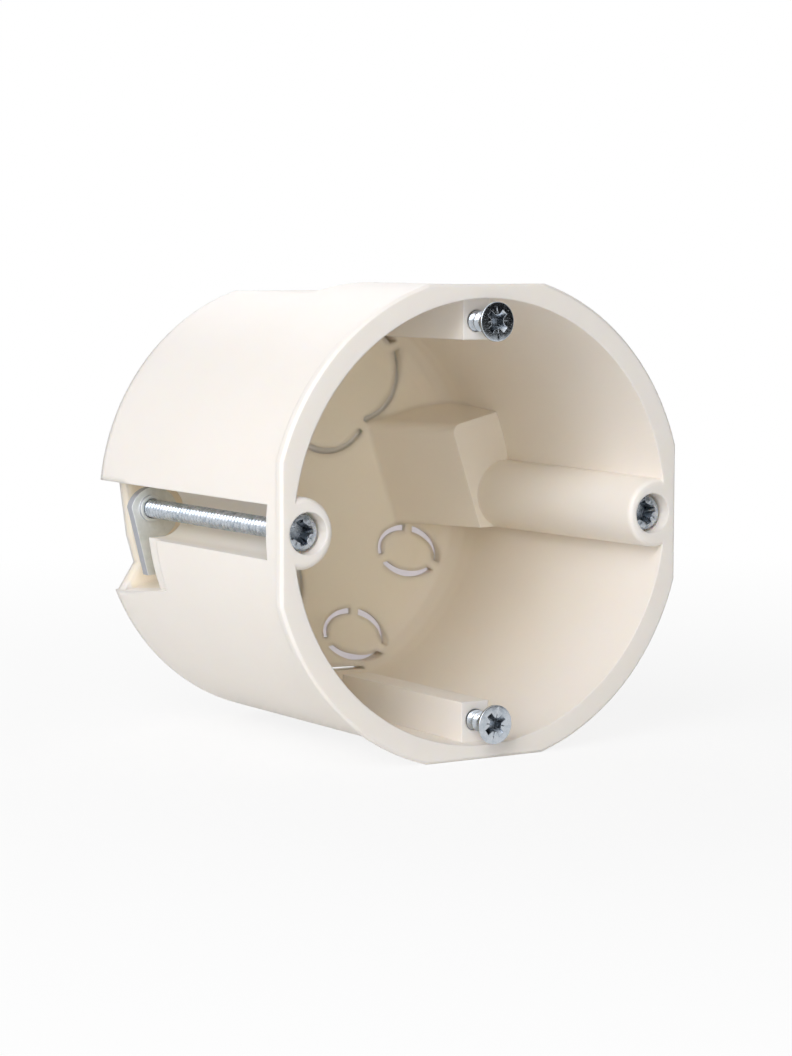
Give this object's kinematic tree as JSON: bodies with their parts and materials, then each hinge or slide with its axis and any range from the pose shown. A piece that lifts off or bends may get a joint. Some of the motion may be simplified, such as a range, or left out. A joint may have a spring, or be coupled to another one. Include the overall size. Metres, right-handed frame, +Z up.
{
  "type": "electrical device box",
  "caption": "Round plastic hollow-wall device box, open at the front, with claw screws in side channels, swing-out metal claws and device screws above and below the mouth.",
  "frame": {"origin": "centre of the mouth, in the plane of the rim's front face", "axes": "+X right seen from the mouth, +Y from the mouth into the wall, +Z up"},
  "size_m": [0.071, 0.0598, 0.071],
  "materials": {
    "moulded_plastic": "satin moulded, cream white",
    "zinc_screw": "bright zinc plated",
    "zinc_sheet": "zinc plated stamping"
  },
  "bodies": {
    "box": {"box_body": "moulded_plastic"},
    "left_claw_screw_body": {"left_claw_screw": "zinc_screw"},
    "right_claw_screw_body": {"right_claw_screw": "zinc_screw"},
    "left_claw_body": {"left_claw": "zinc_sheet"},
    "right_claw_body": {"right_claw": "zinc_sheet"},
    "top_device_screw_body": {"top_device_screw": "zinc_screw"},
    "bottom_device_screw_body": {"bottom_device_screw": "zinc_screw"}
  },
  "joints": [
    {"name": "left_claw_screw_turn", "type": "hinge", "parent": "box", "child": "left_claw_screw_body", "pos_m": [-0.031, 0.025, 0], "axis": [0, 1, 0], "continuous": true},
    {"name": "right_claw_screw_turn", "type": "hinge", "parent": "box", "child": "right_claw_screw_body", "pos_m": [0.031, 0.025, 0], "axis": [0, 1, 0], "continuous": true},
    {"name": "left_claw_swing", "type": "hinge", "parent": "box", "child": "left_claw_body", "pos_m": [-0.031, 0.049, 0], "axis": [0, 1, 0], "range_deg": [0, 90]},
    {"name": "right_claw_swing", "type": "hinge", "parent": "box", "child": "right_claw_body", "pos_m": [0.031, 0.049, 0], "axis": [0, 1, 0], "range_deg": [0, 90]},
    {"name": "top_device_screw_travel", "type": "slide", "parent": "box", "child": "top_device_screw_body", "axis": [0, 1, 0], "range_m": [-0.008, 0.002]},
    {"name": "bottom_device_screw_travel", "type": "slide", "parent": "box", "child": "bottom_device_screw_body", "axis": [0, 1, 0], "range_m": [-0.008, 0.002]}
  ]
}
